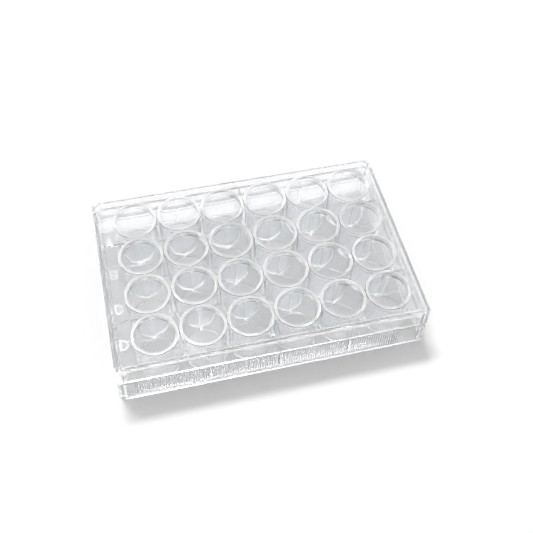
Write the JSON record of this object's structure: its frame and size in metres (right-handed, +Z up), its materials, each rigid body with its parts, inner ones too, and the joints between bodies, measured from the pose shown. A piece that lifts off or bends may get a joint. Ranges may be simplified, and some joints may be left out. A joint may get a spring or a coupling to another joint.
{
  "type": "well plate with lid",
  "caption": "Clear culture plate with rows of round flat-bottomed wells in a ribbed skirt, under a loose flat lid with a stacking border.",
  "frame": {"origin": "centre of the footprint, on the surface that the plate stands on", "axes": "+X along a row from column 1 to the last column, +Y towards row A, +Z up through the lid"},
  "size_m": [0.1278, 0.0856, 0.0216],
  "materials": {
    "clear_plate": "clear moulded plastic, glossy",
    "clear_lid": "clear moulded plastic, glossy"
  },
  "bodies": {
    "root": {"plate": "clear_plate", "lid": "clear_lid"}
  },
  "joints": []
}
